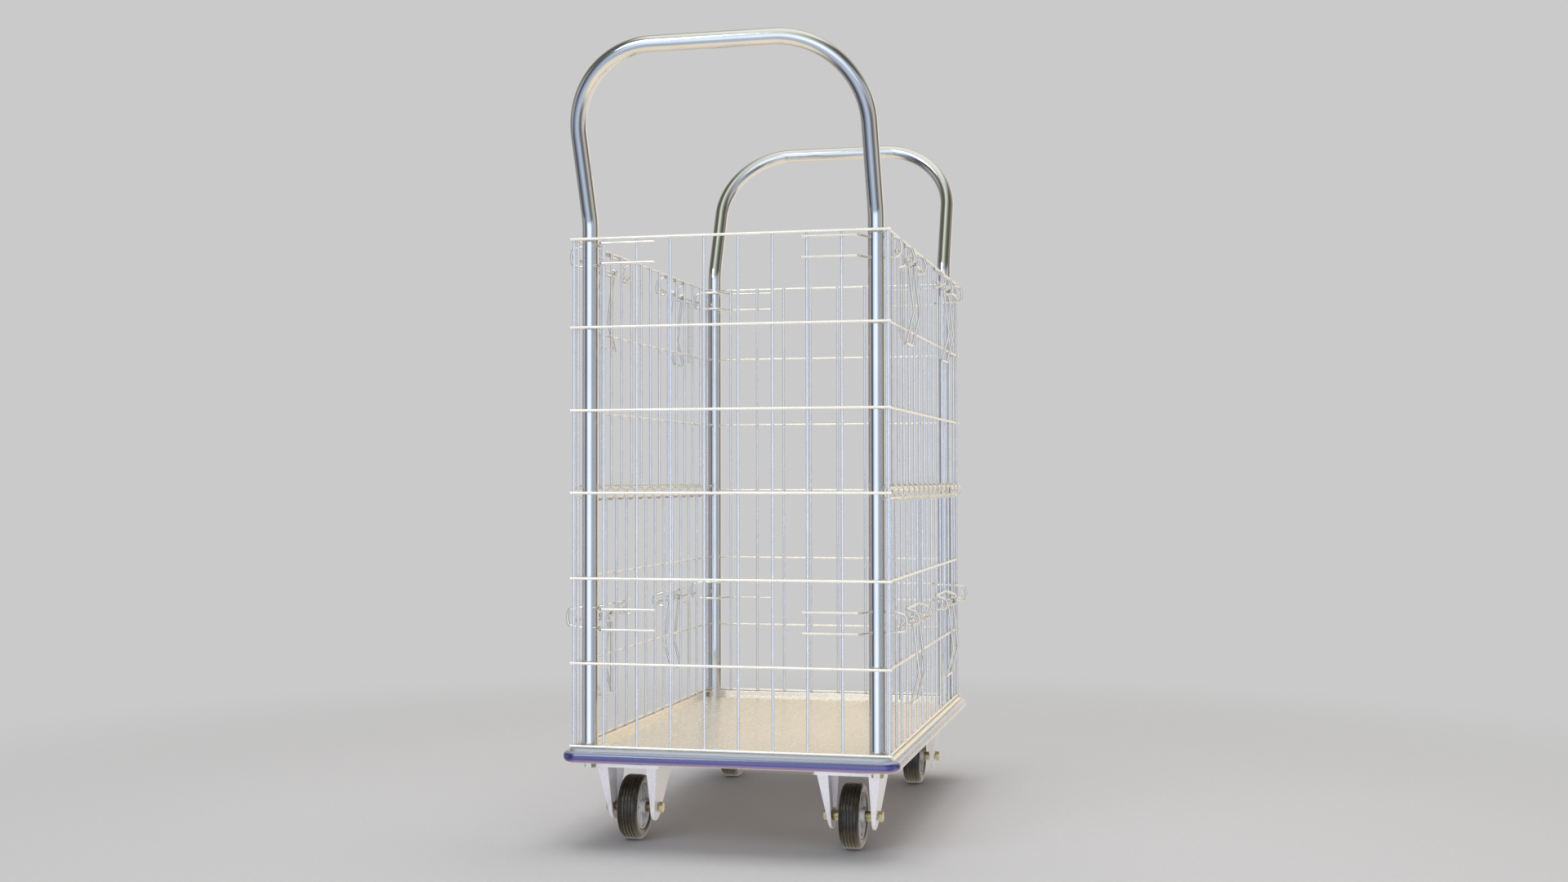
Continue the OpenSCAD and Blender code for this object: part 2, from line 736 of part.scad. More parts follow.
deck_tray();
under_channels();
bumper_strip();
handle_near();
handle_far();
handle_plugs();
handle_bolts();
end_panel_near();
end_panel_far();
keepers_near();
keepers_far();
side_lower_left();
side_lower_right();
side_upper_left();
side_upper_right();
hinge_coil_left();
hinge_coil_right();
guides_lower_left();
guides_lower_right();
guides_upper_left();
guides_upper_right();
bolt_lower_left_near();
bolt_lower_left_far();
bolt_lower_right_near();
bolt_lower_right_far();
bolt_upper_left_near();
bolt_upper_left_far();
bolt_upper_right_near();
bolt_upper_right_far();
lever_lower_left_near();
lever_lower_left_far();
lever_lower_right_near();
lever_lower_right_far();
lever_upper_left_near();
lever_upper_left_far();
lever_upper_right_near();
lever_upper_right_far();
fork_near_left();
fork_near_right();
fork_far_left();
fork_far_right();
axles_near();
axle_far_left();
axle_far_right();
tyre_near_left();
tyre_near_right();
tyre_far_left();
tyre_far_right();
hub_near_left();
hub_near_right();
hub_far_left();
hub_far_right();
swivel_plates();
swivel_pins();
swivel_balls();
castor_bolts();
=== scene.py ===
"""Looks of a mesh-sided platform trolley with folding wire sides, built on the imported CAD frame."""
import bpy
import math
from mathutils import Matrix, Vector

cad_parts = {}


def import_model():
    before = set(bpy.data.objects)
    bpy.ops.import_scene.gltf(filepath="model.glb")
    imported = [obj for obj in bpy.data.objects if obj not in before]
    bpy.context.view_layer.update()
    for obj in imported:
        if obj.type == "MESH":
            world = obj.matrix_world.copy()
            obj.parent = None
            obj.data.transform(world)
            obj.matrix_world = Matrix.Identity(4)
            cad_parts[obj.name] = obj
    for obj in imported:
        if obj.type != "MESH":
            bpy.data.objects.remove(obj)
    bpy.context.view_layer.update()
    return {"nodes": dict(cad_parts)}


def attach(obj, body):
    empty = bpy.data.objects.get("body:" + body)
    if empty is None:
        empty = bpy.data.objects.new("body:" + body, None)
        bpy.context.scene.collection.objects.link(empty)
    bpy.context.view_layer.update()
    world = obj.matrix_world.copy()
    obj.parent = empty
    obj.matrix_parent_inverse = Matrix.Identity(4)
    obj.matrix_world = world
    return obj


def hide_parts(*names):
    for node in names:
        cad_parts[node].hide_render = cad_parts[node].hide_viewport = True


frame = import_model()
NODES = frame["nodes"]
MM = 0.001  # the scene is in metres, the sizes below are in millimetres

# ------------------------------------------------------------------ sizes, in millimetres
DECK_W, DECK_L, DECK_R = 486.0, 752.0, 16.0  # the tray's outline and its corner radius
RIM_Z, TREAD_Z, SKIRT_Z = 147.0, 137.0, 126.0  # rim flat, tread and the skirt's lower edge
BUMPER_Z, BUMPER_H, BUMPER_R = 126.5, 16.5, 7.5  # lower edge, height, radius of its rounded edges

HALF_X, HALF_Y = 236.0, 368.0  # from the middle to the axes of the cage's level wires
WIRE_D, PITCH = 4.2, 51.0
CROSS = 3.8  # between the axes of two mesh wires welded across each other
OVERRUN = 1.5  # how far an upright passes the first and the last level wire
END_FOOT_Z, SIDE_FOOT_Z, CAGE_TOP, FOLD_Z = 149.3, 149.6, 898.0, 522.0
LOWER_LEVELS, UPPER_LEVELS = [271.0, 396.0], [644.0, 767.0]
END_FIRST, END_PITCH, END_COUNT = -189.5, 51.2, 8  # the end panels' inner uprights
SIDE_REACH = 359.0  # half the length of a side's level wires
SIDE_EDGES = [-357.0, -328.0, 328.0, 357.0]  # the lower sides' extra uprights near each end

COIL_R, COIL_D, COIL_TURNS, COIL_PHASE = 11.3, 3.0, 14, 41.0
EDGE = COIL_R - COIL_D / 2 - WIRE_D / 2 - 0.3  # from the fold axis to a wire inside the coil

LATCH_D, LEVER_D, BALL_R, EYE_R = 4.59, 4.4, 3.8, 4.75
UPPER_LATCH = {"z": 871.0, "out": 6.2, "bar": 22.4}  # bolt height, bolt outside HALF_X, guide bar
LOWER_LATCH = {"z": 331.0, "out": 12.0, "bar": 16.0}
BOLT_L, COLLARS = 233.0, (97.0, 162.0)
LEVER_LEGS = (102.0, 159.0)
TRAVEL = 45.0  # how far the bolts are drawn back from their shot place
TOUCH = 4.5  # between the axes of a mesh wire and a latch wire lying against it

POST_X, POST_Y, TUBE_R = 216.0, 348.0, 11.97
LEAN, LEAN_R, LEAN_Z = 22.7, 76.0, 910.0  # the handles' outward bend: degrees, radius, start
REACH, GRIP_R = 241.5, 127.0  # leaning length up to the grip, and the grip's corner radius

WHEEL_R, WHEEL_W = 48.0, 30.0
WHEELS = {"near_left": (-168, -280), "near_right": (168, -280),
          "far_left": (-168, 297), "far_right": (168, 297)}


# ------------------------------------------------------------------ materials
class Graph:
    """Short ways to add and join the nodes of one tree."""

    def __init__(self, tree):
        self.n, self.l = tree.nodes, tree.links

    def feed(self, socket, value):
        """Sets a socket to a number or a colour, or links it to another node's output."""
        if isinstance(value, tuple):
            socket.default_value = (*value, 1)
        elif isinstance(value, (int, float)):
            socket.default_value = value
        else:
            self.l.new(value, socket)

    def maths(self, operation, a, b=None):
        node = self.n.new("ShaderNodeMath")
        node.operation = operation
        self.feed(node.inputs[0], a)
        if b is not None:
            self.feed(node.inputs[1], b)
        return node.outputs[0]

    def axes(self, vector):
        """The X, Y and Z outputs of a vector."""
        node = self.n.new("ShaderNodeSeparateXYZ")
        self.l.new(vector, node.inputs[0])
        return node.outputs

    def spread(self, fac, low, high, f0=0.3, f1=0.7, smooth=False):
        """Maps f0..f1 to low..high, clamped."""
        node = self.n.new("ShaderNodeMapRange")
        if smooth:
            node.interpolation_type = "SMOOTHSTEP"
        node.inputs["From Min"].default_value = f0
        node.inputs["From Max"].default_value = f1
        node.inputs["To Min"].default_value = low
        node.inputs["To Max"].default_value = high
        self.l.new(fac, node.inputs["Value"])
        return node.outputs[0]

    def mix(self, fac, a, b):
        """A colour that goes from a to b as fac goes from 0 to 1."""
        node = self.n.new("ShaderNodeMix")
        node.data_type = "RGBA"
        self.feed(node.inputs[6], a)
        self.feed(node.inputs[7], b)
        self.l.new(fac, node.inputs[0])
        return node.outputs[2]

    def mix_shaders(self, fac, a, b, output):
        node = self.n.new("ShaderNodeMixShader")
        self.l.new(fac, node.inputs[0])
        self.l.new(a, node.inputs[1])
        self.l.new(b, node.inputs[2])
        self.l.new(node.outputs[0], self.n[output].inputs["Surface"])


class Mat(Graph):
    """A procedural Principled material in object space."""

    def __init__(self, name, metallic=0.0, rough=0.5, coat=0.0, coat_rough=0.1, spec=0.5):
        self.m = bpy.data.materials.new(name)
        self.m.use_nodes = True
        super().__init__(self.m.node_tree)
        self.b = self.n["Principled BSDF"]
        self.b.inputs["Metallic"].default_value = metallic
        self.b.inputs["Roughness"].default_value = rough
        self.b.inputs["Coat Weight"].default_value = coat
        self.b.inputs["Coat Roughness"].default_value = coat_rough
        self.b.inputs["Specular IOR Level"].default_value = spec
        self.relief = None
        self.coord = self.n.new("ShaderNodeTexCoord").outputs["Object"]

    def noise(self, scale, detail=3.0, rough=0.55, stretch=(1, 1, 1), distort=0.0):
        mapping = self.n.new("ShaderNodeMapping")
        mapping.inputs["Scale"].default_value = stretch
        self.l.new(self.coord, mapping.inputs["Vector"])
        node = self.n.new("ShaderNodeTexNoise")
        node.inputs["Scale"].default_value = scale
        node.inputs["Detail"].default_value = detail
        node.inputs["Roughness"].default_value = rough
        node.inputs["Distortion"].default_value = distort
        self.l.new(mapping.outputs[0], node.inputs["Vector"])
        return node.outputs["Fac"]

    def cells(self, scale):
        node = self.n.new("ShaderNodeTexVoronoi")
        node.inputs["Scale"].default_value = scale
        self.l.new(self.coord, node.inputs["Vector"])
        return node.outputs["Distance"]

    def color(self, socket):
        self.l.new(socket, self.b.inputs["Base Color"])

    def roughness(self, socket):
        self.l.new(socket, self.b.inputs["Roughness"])

    def bump(self, fac, strength, distance):
        """Adds a fine relief on top of any that is there."""
        node = self.n.new("ShaderNodeBump")
        node.inputs["Strength"].default_value = strength
        node.inputs["Distance"].default_value = distance
        self.l.new(fac, node.inputs["Height"])
        if self.relief is not None:
            self.l.new(self.relief, node.inputs["Normal"])
        self.relief = node.outputs[0]
        self.l.new(self.relief, self.b.inputs["Normal"])


def chrome_tube():
    k = Mat("chrome_tube", metallic=1.0)
    broad = k.noise(9, 4, 0.6)
    fine = k.noise(420, 2, 0.5, (1, 1, 0.12))
    cloud = k.spread(broad, 0, 1, 0.35, 0.65)
    k.color(k.mix(cloud, (0.76, 0.77, 0.79), (0.83, 0.83, 0.83)))
    k.roughness(k.spread(fine, 0.05, 0.11))
    k.bump(fine, 0.04, 0.0001)
    k.bump(k.noise(30, 2), 0.03, 0.0004)
    return k.m


def zinc_wire(name, bright, dark, rough0, rough1, metallic=1.0):
    """Bright zinc plate on wire, smoother than galvanised sheet."""
    k = Mat(name, metallic)
    broad = k.noise(40, 4, 0.6)
    fine = k.noise(900, 3, 0.6)
    k.color(k.mix(k.spread(broad, 0, 1, 0.35, 0.7), dark, bright))
    k.roughness(k.spread(fine, rough0, rough1))
    k.bump(fine, 0.035, 0.0001)
    return k.m


def deck_steel():
    """Plated sheet, tinted cream as a painted warm reflection, with the rim duller and painted
    grey-blue as a reflection at the deck's two ends.
    """
    k = Mat("deck_steel", metallic=0.72)
    spangle = k.cells(90)
    broad = k.noise(6, 4, 0.6)
    scuff = k.noise(60, 6, 0.7, (1, 0.15, 1))
    # The cream in all the deck's tones is a painted warm reflection; the spangle and scuff changes
    # are the sheet's own.
    tone = k.mix(k.spread(spangle, 0, 1, 0.1, 0.8), (0.96, 0.90, 0.815), (0.92, 0.865, 0.79))
    worn = k.mix(k.spread(scuff, 0, 0.5, 0.5, 0.75), tone, (0.87, 0.815, 0.735))
    cream = k.mix(k.spread(broad, 0, 0.35, 0.4, 0.7), worn, (0.90, 0.84, 0.755))
    place = k.axes(k.coord)
    end = DECK_L / 2
    above_tread = k.spread(place["Z"], 0, 1, (TREAD_Z + 1.5) * MM, (TREAD_Z + 5.5) * MM)
    at_end = k.spread(k.maths("ABSOLUTE", place["Y"]), 0, 1, (end - 10) * MM, (end - 6) * MM)
    end_rim = k.maths("MULTIPLY", above_tread, at_end)
    # Painted grey-blue reflection on the rim at the deck's two ends.
    k.color(k.mix(end_rim, cream, (0.46, 0.49, 0.53)))
    # Cream specular tint: part of the painted warm reflection.
    k.feed(k.b.inputs["Specular Tint"], (1.0, 0.96, 0.90))
    dull = k.spread(end_rim, 0.0, 0.5, 0.0, 1.0)
    k.roughness(k.maths("MAXIMUM", k.spread(scuff, 0.20, 0.34), dull))
    k.bump(spangle, 0.03, 0.0002)
    k.bump(scuff, 0.02, 0.0002)
    return k.m


def bumper_plastic():
    """Glossy dark blue plastic, with painted reflections: violet to pink on its lower edge and pale
    on its upper one.
    """
    k = Mat("bumper_plastic", coat=1.0, coat_rough=0.14)
    broad = k.noise(14, 4, 0.6)
    scuff = k.noise(260, 5, 0.7, (1, 1, 0.3))
    blue = k.mix(k.spread(scuff, 0, 0.5, 0.55, 0.8), (0.011, 0.011, 0.125), (0.03, 0.03, 0.18))
    z = k.axes(k.coord)["Z"]

    def by_height(low, high, start, stop):
        """From low to high between two heights above the bumper's lower edge."""
        return k.spread(z, low, high, (BUMPER_Z + start) * MM, (BUMPER_Z + stop) * MM)

    # Painted reflection of the warm ground: violet, then pink towards the rounded lower edge.
    violet = k.mix(by_height(1, 0, 5, 9), blue, (0.055, 0.045, 0.25))
    pink = k.mix(by_height(1, 0, 0.5, 6), violet, (0.27, 0.15, 0.28))
    # Pale band at the top edge: a painted reflection of the sky.
    k.color(k.mix(by_height(0, 0.6, 12.5, 15), pink, (0.36, 0.41, 0.48)))
    k.b.inputs["Coat IOR"].default_value = 1.9
    k.roughness(k.spread(broad, 0.2, 0.36))
    k.bump(k.noise(500, 3), 0.12, 0.0002)
    return k.m


def galvanised(name, bright, dark, rough0, rough1, metallic=0.85):
    k = Mat(name, metallic)
    spangle = k.cells(260)
    fine = k.noise(700, 4, 0.6)
    broad = k.noise(25, 4, 0.6)
    tone = k.mix(k.spread(spangle, 0, 1, 0.1, 0.8), bright, dark)
    k.color(k.mix(k.spread(broad, 0, 0.4, 0.4, 0.75), tone, dark))
    k.roughness(k.spread(fine, rough0, rough1))
    k.bump(fine, 0.2, 0.0001)
    k.bump(spangle, 0.06, 0.0002)
    return k.m


def yellow_zinc(name, pale, deep, blush):
    """Yellow passivated zinc, with the film's uneven colours."""
    k = Mat(name, metallic=1.0)
    film = k.noise(120, 4, 0.65, distort=0.6)
    gold = k.mix(k.spread(film, 0, 1, 0.35, 0.65), pale, deep)
    k.color(k.mix(k.spread(k.noise(220, 2), 0, 0.35, 0.5, 0.7), gold, blush))
    k.roughness(k.spread(k.noise(600, 3), 0.16, 0.34))
    k.bump(k.noise(500, 3), 0.08, 0.0001)
    return k.m


def tyre_rubber():
    k = Mat("tyre_rubber", spec=0.7)
    dust = k.noise(45, 6, 0.65)
    grain = k.noise(900, 3, 0.6)
    dusty = k.spread(dust, 0, 0.7, 0.45, 0.75)
    # The warm brown in both tones is a painted reflection of the warm ground; the noise patches
    # between them are dust.
    k.color(k.mix(dusty, (0.012, 0.009, 0.005), (0.055, 0.042, 0.024)))
    k.roughness(k.spread(grain, 0.22, 0.34))
    k.bump(grain, 0.3, 0.0002)
    k.bump(k.noise(160, 3), 0.15, 0.0004)
    return k.m


def hub_plastic():
    k = Mat("hub_plastic")
    cloud = k.spread(k.noise(60, 5), 0, 1, 0.35, 0.7)
    k.color(k.mix(cloud, (0.52, 0.52, 0.535), (0.40, 0.395, 0.39)))
    k.roughness(k.spread(k.noise(500, 3), 0.42, 0.6))
    k.bump(k.noise(700, 3), 0.2, 0.0002)
    return k.m


CHROME = chrome_tube()
# One zinc wire in two tints: bluish on the uprights as a painted cool reflection, cream on the level
# wires as a painted warm reflection.
WIRE = zinc_wire("zinc_wire", (0.83, 0.84, 0.885), (0.75, 0.76, 0.82), 0.18, 0.30, 0.65)
LEVEL_WIRE_WARM_REFLECTION = zinc_wire("zinc_level_wire_warm_reflection", (0.93, 0.90, 0.84), (0.85, 0.82, 0.77), 0.18, 0.30, 0.6)
# Cream tint of the latch and coil wires: a painted warm reflection on the same zinc.
LATCH = zinc_wire("zinc_latch_wire", (0.90, 0.87, 0.81), (0.80, 0.78, 0.76), 0.08, 0.17, 0.8)
COIL = zinc_wire("zinc_coil_wire", (0.84, 0.81, 0.74), (0.74, 0.71, 0.66), 0.14, 0.24, 0.6)
DECK = deck_steel()
CHANNEL = galvanised("channel_steel", (0.52, 0.53, 0.56), (0.40, 0.41, 0.44), 0.35, 0.55)
BUMPER = bumper_plastic()
# Pale lavender tint of the forks and plates: painted cool light, pale enough to light their shaded
# insides.
CASTOR = galvanised("castor_steel", (0.80, 0.785, 0.83), (0.73, 0.71, 0.76), 0.32, 0.46, 0.25)
YELLOW = yellow_zinc("yellow_zinc", (0.86, 0.80, 0.62), (0.72, 0.66, 0.52), (0.66, 0.55, 0.60))
GOLD = yellow_zinc("gold_zinc", (0.60, 0.50, 0.27), (0.42, 0.35, 0.19), (0.45, 0.36, 0.30))
TYRE = tyre_rubber()
HUB = hub_plastic()
PLUG = galvanised("plug_steel", (0.5, 0.5, 0.52), (0.38, 0.38, 0.4), 0.3, 0.5)
BALL = zinc_wire("ball_steel", (0.7, 0.7, 0.72), (0.6, 0.6, 0.62), 0.1, 0.2)


# ------------------------------------------------------------------ mesh helpers
# A shape is a pair of lists, (vertices in millimetres, faces).
def unit(v):
    return v.normalized()


def rounded(points, bend):
    """The path with each corner replaced by a short curve that starts and ends bend from it."""
    steps = 8
    p = [Vector(q) for q in points]
    out = [p[0]]
    for i in range(1, len(p) - 1):
        u, v = unit(p[i - 1] - p[i]), unit(p[i + 1] - p[i])
        for k in range(steps + 1):
            a = k / steps
            out.append(p[i] + u * bend * (1 - a) ** 2 + v * bend * a ** 2)
    out.append(p[-1])
    return out


def frames(path, side):
    """(tangent, normal) pairs along a path, the normal carried on smoothly from side."""
    tangents = []
    for i in range(len(path)):
        before = path[i] - path[i - 1] if i else path[1] - path[0]
        after = path[i + 1] - path[i] if i < len(path) - 1 else before
        tangents.append(unit(unit(before) + unit(after)))
    normal = Vector(side)
    out = []
    for t in tangents:
        normal = unit(normal - t * normal.dot(t))
        out.append((t, normal.copy()))
    return out


def sweep(path, radius, side, sides, closed_ends=True, end_round=0.0):
    """A round wire along a path, with its ends eased by end_round."""
    path = [Vector(p) for p in path]
    along = frames(path, side)
    rings = [(p, f, radius) for p, f in zip(path, along)]
    if end_round:
        start, stop = along[0][0], along[-1][0]
        rings[0] = (path[0] + start * end_round, along[0], radius)
        rings[-1] = (path[-1] - stop * end_round, along[-1], radius)
        rings.insert(0, (path[0], along[0], radius - end_round))
        rings.append((path[-1], along[-1], radius - end_round))
    verts, faces = [], []
    for centre, (t, n), r in rings:
        b = t.cross(n)
        for k in range(sides):
            a = 2 * math.pi * k / sides
            verts.append(centre + r * (math.cos(a) * n + math.sin(a) * b))
    for i in range(len(rings) - 1):
        for k in range(sides):
            a, b = i * sides + k, i * sides + (k + 1) % sides
            faces.append((a, b, b + sides, a + sides))
    if closed_ends:
        last = (len(rings) - 1) * sides
        faces.append(tuple(range(sides - 1, -1, -1)))
        faces.append(tuple(last + k for k in range(sides)))
    return verts, faces


def rod(start, stop):
    """A straight mesh wire with eased ends."""
    start, stop = Vector(start), Vector(stop)
    u = unit(stop - start)
    side = (0, 0, 1) if abs(u.z) < 0.5 else (1, 0, 0)
    return sweep([start, start + u * 2, stop - u * 2, stop], WIRE_D / 2, side, 16, end_round=0.5)


def lathe(profile, axis, segments, closed=True):
    """Revolves (radius, along) pairs about an axis through the origin."""
    axis = Vector(axis)
    side = Vector((0, 0, 1))
    across = axis.cross(side)
    verts, faces = [], []
    m = len(profile)
    for s in range(segments):
        a = 2 * math.pi * s / segments
        d = math.cos(a) * side + math.sin(a) * across
        verts += [axis * z + d * r for r, z in profile]
    for s in range(segments):
        q = (s + 1) % segments
        for i in range(m if closed else m - 1):
            j = (i + 1) % m
            faces.append((s * m + i, s * m + j, q * m + j, q * m + i))
    return verts, faces


def join(shapes):
    verts, faces = [], []
    for v, f in shapes:
        base = len(verts)
        verts += v
        faces += [tuple(base + i for i in face) for face in f]
    return verts, faces


def flipped(faces):
    return [tuple(reversed(face)) for face in faces]


def mirrored(shape, sx, sy):
    """The shape mirrored by the signs given, still facing outwards."""
    verts, faces = shape
    verts = [Vector((v.x * sx, v.y * sy, v.z)) for v in verts]
    return verts, flipped(faces) if sx * sy < 0 else faces


def moved(shape, x, y, z):
    verts, faces = shape
    return [v + Vector((x, y, z)) for v in verts], faces


def data_block(name, shape):
    verts, faces = shape
    me = bpy.data.meshes.new(name)
    me.from_pydata([tuple(c * MM for c in v) for v in verts], [], faces)
    me.update()
    o = bpy.data.objects.new(name, me)
    bpy.context.collection.objects.link(o)
    return o, me


def piece(name, shape, mat, body, replaces=(), smooth=35.0, second=None):
    """One visible piece on a body. second is (material, how many of the first faces wear it)."""
    o, me = data_block(name, shape)
    me.materials.append(mat)
    if second:
        me.materials.append(second[0])
        for face in me.polygons[:second[1]]:
            face.material_index = 1
    me.shade_smooth()
    me.set_sharp_from_angle(angle=math.radians(smooth))
    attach(o, body)
    if replaces:
        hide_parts(*replaces)


def repaint(names, mat):
    """Gives CAD nodes that are shown as they are another material."""
    for name in names:
        o = NODES[name]
        o.data.materials.clear()
        o.data.materials.append(mat)


# ------------------------------------------------------------------ handles
def handle_path():
    """The bent tube's axis, from one foot over the grip to the other, with y outwards."""
    lean_steps, grip_steps = 16, 40
    arm = REACH - GRIP_R
    lean = math.radians(LEAN)
    half = [Vector((POST_X, 0, TREAD_Z))]
    half += [Vector((POST_X, 0, z)) for z in range(200, 901, 100)]
    for i in range(lean_steps + 1):
        a = lean * i / lean_steps
        half.append(Vector((POST_X, LEAN_R * (1 - math.cos(a)), LEAN_Z + LEAN_R * math.sin(a))))
    base = Vector((0, LEAN_R * (1 - math.cos(lean)), LEAN_Z + LEAN_R * math.sin(lean)))
    up = Vector((0, math.sin(lean), math.cos(lean)))
    half.append(base + Vector((POST_X, 0, 0)) + up * arm * 0.5)
    for i in range(grip_steps + 1):
        a = math.pi / 2 * i / grip_steps
        x = POST_X - GRIP_R + GRIP_R * math.cos(a)
        half.append(base + up * (arm + GRIP_R * math.sin(a)) + Vector((x, 0, 0)))
    return half + [Vector((-p.x, p.y, p.z)) for p in reversed(half)]


def foot_weld(x, y):
    """The uneven fillet weld round a handle's foot, where it meets the tread."""
    around, up = 72, 8
    verts, faces = [], []
    for i in range(around):
        a = 2 * math.pi * i / around
        width = 2.4 + 0.5 * math.sin(9 * a) + 0.35 * math.sin(23 * a + 1)
        for k in range(up):
            q = math.pi / 2 * k / (up - 1)
            r = TUBE_R - 0.3 + width * (1 - math.sin(q))
            z = TREAD_Z + 0.1 + width * (1 - math.cos(q))
            verts.append(Vector((x + r * math.cos(a), y + r * math.sin(a), z)))
    for i in range(around):
        j = (i + 1) % around
        for k in range(up - 1):
            faces.append((i * up + k, j * up + k, j * up + k + 1, i * up + k + 1))
    return verts, faces


def handle(name, sy):
    tube = sweep(handle_path(), TUBE_R, (0, 1, 0), 48, closed_ends=False)
    shapes = [mirrored(moved(tube, 0, POST_Y, 0), 1, sy)]
    shapes += [foot_weld(sx * POST_X, sy * POST_Y) for sx in (-1, 1)]
    piece(name, join(shapes), CHROME, "trolley", (name,))


handle("handle_near", -1)
handle("handle_far", 1)


# ------------------------------------------------------------------ mesh panels
def weld_bead(centre, along):
    """A small flattened squeeze of metal where a level wire and an upright are welded."""
    centre, along, up = Vector(centre), Vector(along), Vector((0, 0, 1))
    normal = along.cross(up)
    around, rows, radius = 10, 4, 2.7
    verts, faces = [], []
    for i in range(rows + 1):
        q = math.pi * i / rows - math.pi / 2
        for k in range(around):
            t = 2 * math.pi * k / around
            r = radius * math.cos(q) * (1 + 0.12 * math.cos(4 * t))
            spoke = math.cos(t) * along + math.sin(t) * up
            verts.append(centre + r * spoke + normal * math.sin(q))
    for i in range(rows):
        for k in range(around):
            a, b = i * around + k, i * around + (k + 1) % around
            faces.append((a, b, b + around, a + around))
    return verts, faces


def mesh_panel(name, body, place, along, reach, levels, uprights, sx, sy):
    """Level wires outside, uprights inside them, and a bead at each crossing.

    place(run, inset, z) is a point of the panel, with run measured along it.
    """
    low, high = levels[0] - OVERRUN, levels[-1] + OVERRUN
    shapes = [rod(place(-reach, 0, z), place(reach, 0, z)) for z in levels]
    level_faces = sum(len(faces) for verts, faces in shapes)
    shapes += [rod(place(run, CROSS, low), place(run, CROSS, high)) for run in uprights]
    shapes += [weld_bead(place(run, CROSS / 2, z), along) for z in levels for run in uprights]
    # The level wires wear the copy with the painted warm reflection.
    piece(name, mirrored(join(shapes), sx, sy), WIRE, body, (name,),
          second=(LEVEL_WIRE_WARM_REFLECTION, level_faces))


def end_panel(name, sy):
    levels = [END_FOOT_Z, *LOWER_LEVELS, FOLD_Z, *UPPER_LEVELS, CAGE_TOP]
    uprights = [END_FIRST + END_PITCH * i for i in range(END_COUNT)] + [-HALF_X, HALF_X]
    mesh_panel(name, "trolley", lambda run, inset, z: (run, HALF_Y - inset, z), (1, 0, 0),
               HALF_X + 5, levels, uprights, 1, sy)


def side_panel(name, levels, uprights, sx):
    mesh_panel(name, name, lambda run, inset, z: (HALF_X - inset, run, z), (0, 1, 0),
               SIDE_REACH, levels, uprights, sx, 1)


end_panel("end_panel_near", -1)
end_panel("end_panel_far", 1)

lower_uprights = [s * PITCH * (k + 0.5) for k in range(6) for s in (-1, 1)]
lower_uprights += SIDE_EDGES
upper_uprights = [PITCH * k for k in range(-7, 8)]
SIDES = (("left", -1), ("right", 1))
for side, sx in SIDES:
    side_panel("side_lower_" + side, [SIDE_FOOT_Z, *LOWER_LEVELS, FOLD_Z - EDGE],
               lower_uprights, sx)
    side_panel("side_upper_" + side, [FOLD_Z + EDGE, *UPPER_LEVELS, CAGE_TOP],
               upper_uprights, sx)


# ------------------------------------------------------------------ coil hinges
def coil(side, sx):
    """The coil that joins a side's two halves, cut short of the far handle's post."""
    steps = 36
    path = []
    for i in range(COIL_TURNS * steps + 1):
        turn = i / steps
        a = math.radians(360 * turn + COIL_PHASE)
        y = PITCH * (turn - COIL_TURNS / 2 + 0.5)
        if -PITCH * 7 < y < POST_Y - TUBE_R - COIL_D:
            x, z = HALF_X + COIL_R * math.cos(a), FOLD_Z + COIL_R * math.sin(a)
            path.append(Vector((x, y, z)))
    wire = sweep(path, COIL_D / 2, (0, 1, 0), 16, end_round=0.4)
    name = "hinge_coil_" + side
    piece(name, mirrored(wire, sx, 1), COIL, "side_lower_" + side, (name,))


for side, sx in SIDES:
    coil(side, sx)


# ------------------------------------------------------------------ latches
def latch_wire(points, bend, side):
    return sweep(rounded(points, bend), LATCH_D / 2, side, 18, end_round=0.5)


def keeper(latch):
    """The loop on an end panel that a shot bolt enters, its two tails welded to the panel."""
    z = latch["z"]
    top, bottom = z + 20, z - 10
    weld_y, loop_y = HALF_Y + 0.7, HALF_Y - 34.6
    tail_x, bend_x, corner_x, bolt_x = 110, 194, 204, HALF_X + latch["out"]
    return latch_wire([
        (tail_x, weld_y, top), (bend_x, weld_y, top), (corner_x, loop_y, top),
        (HALF_X + 2, loop_y, top), (bolt_x + 7, loop_y, top - 4), (bolt_x + 9.5, loop_y, z + 5),
        (bolt_x + 7, loop_y, bottom + 3), (HALF_X + 2, loop_y, bottom),
        (corner_x, loop_y, bottom), (bend_x, weld_y, bottom), (tail_x, weld_y, bottom),
    ], 4, (0, 0, 1))


def keepers(name, sy):
    loops = [mirrored(keeper(latch), sx, sy)
             for sx in (-1, 1) for latch in (UPPER_LATCH, LOWER_LATCH)]
    piece(name, join(loops), LATCH, "trolley", (name,))


def guide(latch):
    """The bent wire on a side that a bolt slides in: two hooks, a bar between, and a long tail."""
    z, bar_z = latch["z"], latch["z"] + latch["bar"]
    hook_y, end_y = HALF_Y - 152, HALF_Y - 274
    bolt_x = HALF_X + latch["out"]
    outside, inside = HALF_X - CROSS + TOUCH, HALF_X - CROSS - TOUCH
    hook = [(0, -6.8), (7, -4), (9, 4)]
    rise = (bolt_x + 5, bar_z - 5)
    points = [(outside, end_y, z - 8)]
    points += [(bolt_x + dx, end_y, z + dz) for dx, dz in hook]
    points += [(rise[0], end_y, rise[1]), (outside, end_y, bar_z)]
    points += [(outside, hook_y, bar_z), (rise[0], hook_y, rise[1])]
    points += [(bolt_x + dx, hook_y, z + dz) for dx, dz in reversed(hook)]
    points += [(inside, hook_y, z - 11), (inside, hook_y, z - 120)]
    return latch_wire(points, 2.8, (0, 1, 0))


